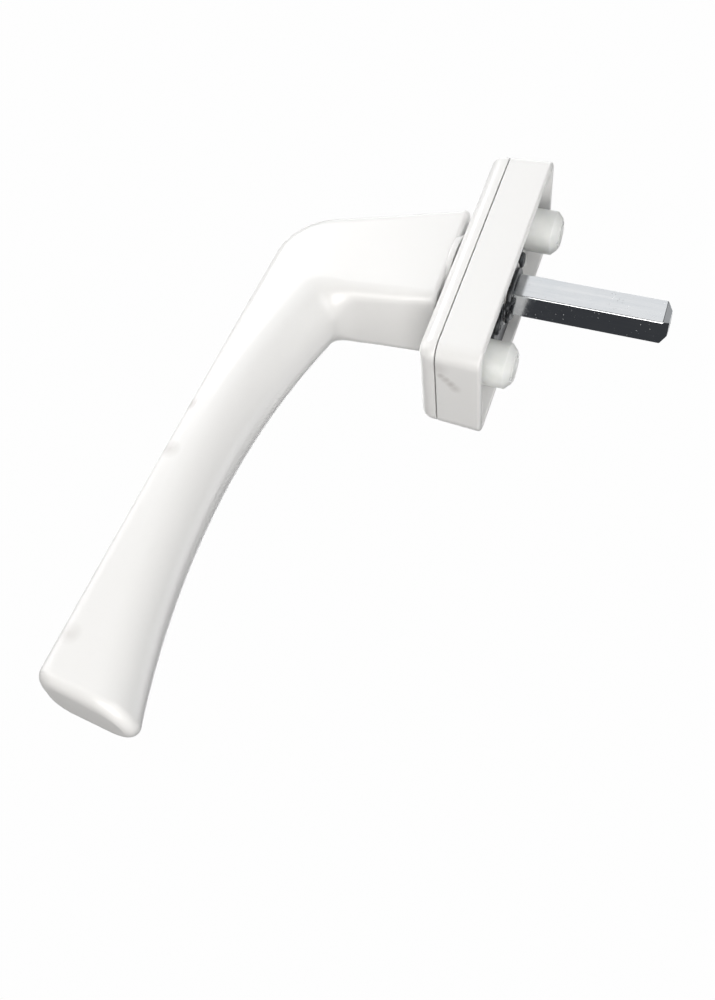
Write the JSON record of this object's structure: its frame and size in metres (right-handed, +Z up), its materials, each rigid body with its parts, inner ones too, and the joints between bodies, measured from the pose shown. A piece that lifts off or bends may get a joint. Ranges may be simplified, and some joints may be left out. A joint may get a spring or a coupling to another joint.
{
  "type": "tilt turn window handle",
  "caption": "White cranked lever handle on a deep rectangular rose, with a square spindle and nylon fixing sleeves, for a tilt and turn window.",
  "frame": {"origin": "centre of the rose's back plane, on the spindle axis, where the handle meets the sash", "axes": "+Z up towards the rose's top fixing, +Y along the spindle into the sash, +X to the right as seen from the room; the lever hangs along -Z at rest"},
  "size_m": [0.0274, 0.0978, 0.1596],
  "materials": {
    "white_paint": "smooth semi-gloss white powder coat",
    "zinc_plate": "bright zinc plate",
    "dark_steel": "dark phosphated steel",
    "spring_steel": "plain spring steel",
    "white_nylon": "translucent natural nylon",
    "bearing_plastic": "smooth acetal"
  },
  "bodies": {
    "rose": {"base_housing": "white_paint", "collar_bush": "bearing_plastic", "detent_spring_near": "spring_steel", "detent_spring_far": "spring_steel", "retaining_plate": "dark_steel", "plate_screw_upper": "dark_steel", "plate_screw_lower": "dark_steel", "upper_fixing_sleeve": "white_nylon", "lower_fixing_sleeve": "white_nylon"},
    "cover": {"cover_plate": "white_paint", "cover_guide_ring": "bearing_plastic"},
    "lever": {"lever_handle": "white_paint", "spindle": "zinc_plate", "spindle_pin": "spring_steel", "detent_cam": "dark_steel", "collar_washer": "bearing_plastic", "thrust_washer": "bearing_plastic", "clip_washer": "zinc_plate", "wave_washer": "spring_steel", "spindle_circlip": "dark_steel"}
  },
  "joints": [
    {"name": "lever_turn", "type": "hinge", "parent": "rose", "child": "lever", "pos_m": [0, 0, 0], "axis": [0, 1, 0], "range_deg": [0, 180], "deforming": ["detent_spring_near", "detent_spring_far"]},
    {"name": "cover_swivel", "type": "hinge", "parent": "rose", "child": "cover", "pos_m": [0, 0, 0], "axis": [0, 1, 0], "range_deg": [0, 90]}
  ]
}
